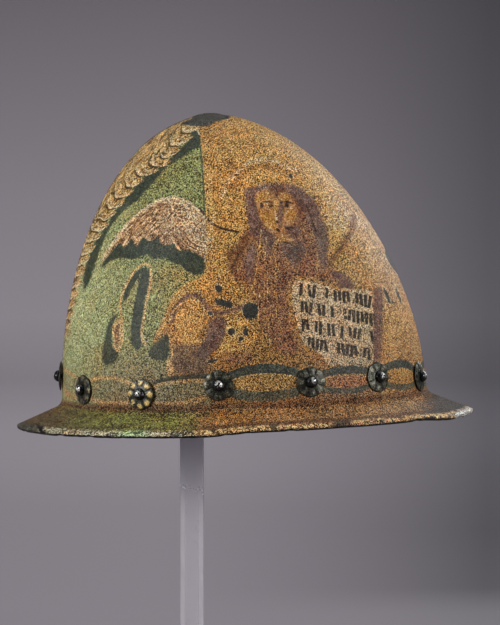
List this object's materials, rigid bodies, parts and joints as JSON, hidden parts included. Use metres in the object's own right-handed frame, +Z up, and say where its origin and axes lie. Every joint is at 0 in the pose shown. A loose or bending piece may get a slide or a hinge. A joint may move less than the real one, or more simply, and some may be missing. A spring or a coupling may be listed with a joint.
{
  "type": "cabasset helmet on a display stand",
  "caption": "Open pointed-oval helmet with a narrow turned brim and a riveted band of rosettes, painted all over, carried on a clear post stand.",
  "frame": {"origin": "middle of the underside of the stand's foot, below the middle of the helmet's brim", "axes": "+X towards the helmet's front, +Y towards its wearer's left, +Z up"},
  "size_m": [0.2922, 0.2468, 0.3618],
  "materials": {
    "painted_steel": "old worn and varnished oil paint on steel, satin",
    "rosette_brass": "dark tarnished brass, satin",
    "bright_steel": "dark polished iron",
    "clear_acrylic": "clear, polished",
    "cap_felt": "grey felt"
  },
  "bodies": {
    "root": {"skull": "painted_steel", "rosette_01": "rosette_brass", "rosette_02": "rosette_brass", "rosette_03": "rosette_brass", "rosette_04": "rosette_brass", "rosette_05": "rosette_brass", "rosette_06": "rosette_brass", "rosette_07": "rosette_brass", "rosette_08": "rosette_brass", "rosette_09": "rosette_brass", "rosette_10": "rosette_brass", "rosette_11": "rosette_brass", "rosette_12": "rosette_brass", "rosette_13": "rosette_brass", "rivet_01": "bright_steel", "rivet_02": "bright_steel", "rivet_03": "bright_steel", "rivet_04": "bright_steel", "rivet_05": "bright_steel", "rivet_06": "bright_steel", "rivet_07": "bright_steel", "rivet_08": "bright_steel", "rivet_09": "bright_steel", "rivet_10": "bright_steel", "rivet_11": "bright_steel", "rivet_12": "bright_steel", "rivet_13": "bright_steel", "stand_foot": "clear_acrylic", "stand_post": "clear_acrylic", "stand_cap": "cap_felt"}
  },
  "joints": []
}
